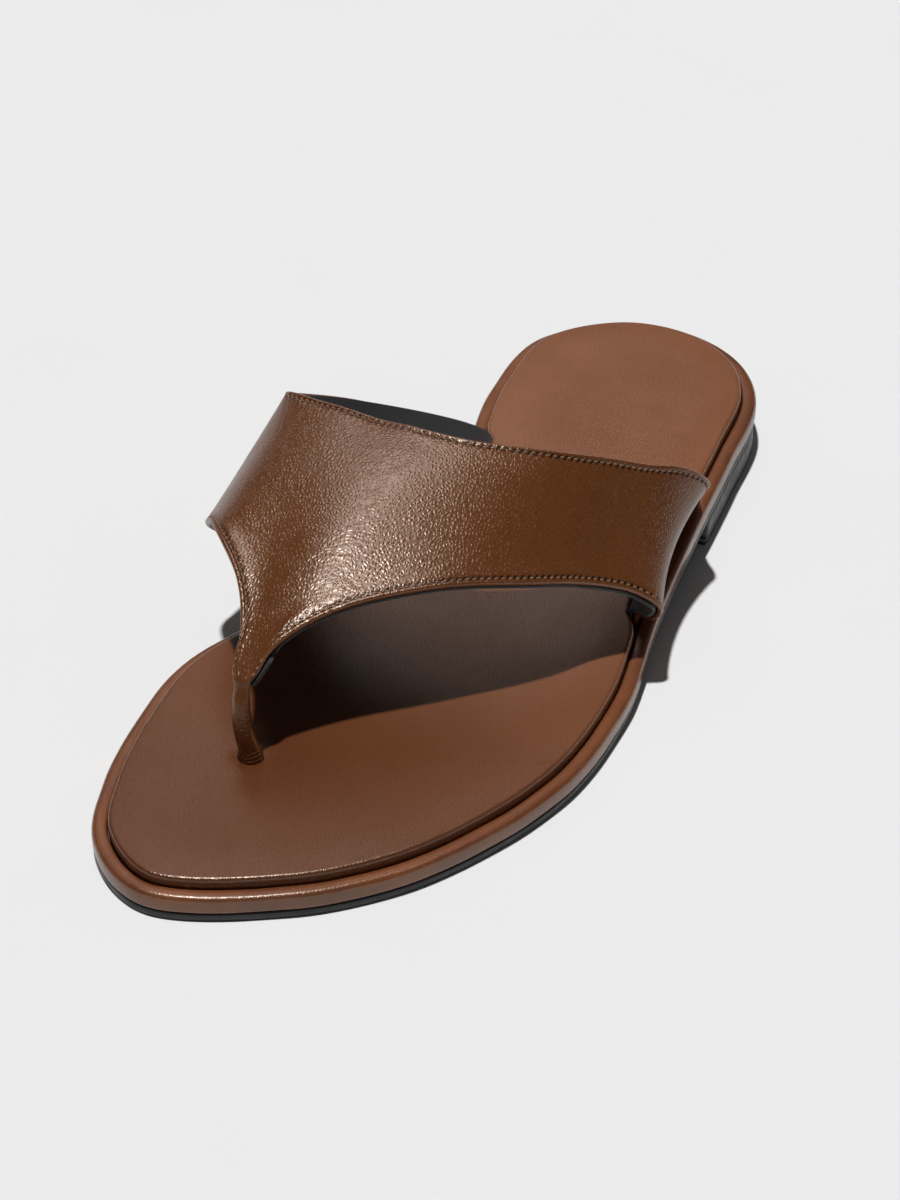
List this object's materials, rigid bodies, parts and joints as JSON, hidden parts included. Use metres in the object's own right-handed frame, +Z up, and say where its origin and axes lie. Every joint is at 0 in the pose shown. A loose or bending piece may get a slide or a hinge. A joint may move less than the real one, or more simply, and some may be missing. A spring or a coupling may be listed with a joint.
{
  "type": "flip flop",
  "caption": "Flat leather flip flop for a left foot: wide T-shaped strap with a rolled toe post, padded footbed, wrapped midsole rim, thin black sole and a low heel.",
  "frame": {"origin": "middle of the object's bounding box, on the floor", "axes": "+Z up, toe towards -Y, heel towards +Y, outer side of the foot towards +X"},
  "size_m": [0.1064, 0.2552, 0.0565],
  "materials": {
    "outsole_black": "satin, fine pitted",
    "wrap_leather": "smooth waxed leather",
    "footbed_leather": "fine matt grain leather",
    "strap_leather": "pebbled leather with a sheen",
    "lining_leather": "matt black leather",
    "board": "pressed fibre board",
    "padding": "soft foam",
    "tape": "woven tape",
    "thread": "waxed thread",
    "steel": "spring steel"
  },
  "bodies": {
    "root": {"heel_top_piece": "outsole_black", "heel_lift": "outsole_black", "outsole": "outsole_black", "midsole_board": "board", "midsole_wrap": "wrap_leather", "shank": "steel", "toe_post_anchor": "tape", "insole_board": "board", "footbed_foam": "padding", "footbed_cover": "footbed_leather", "strap_upper": "strap_leather", "strap_reinforcement": "tape", "strap_lining": "lining_leather", "toe_post_cord": "padding", "seam_back_edge": "thread", "seam_front_outer": "thread", "seam_front_inner": "thread"}
  },
  "joints": []
}
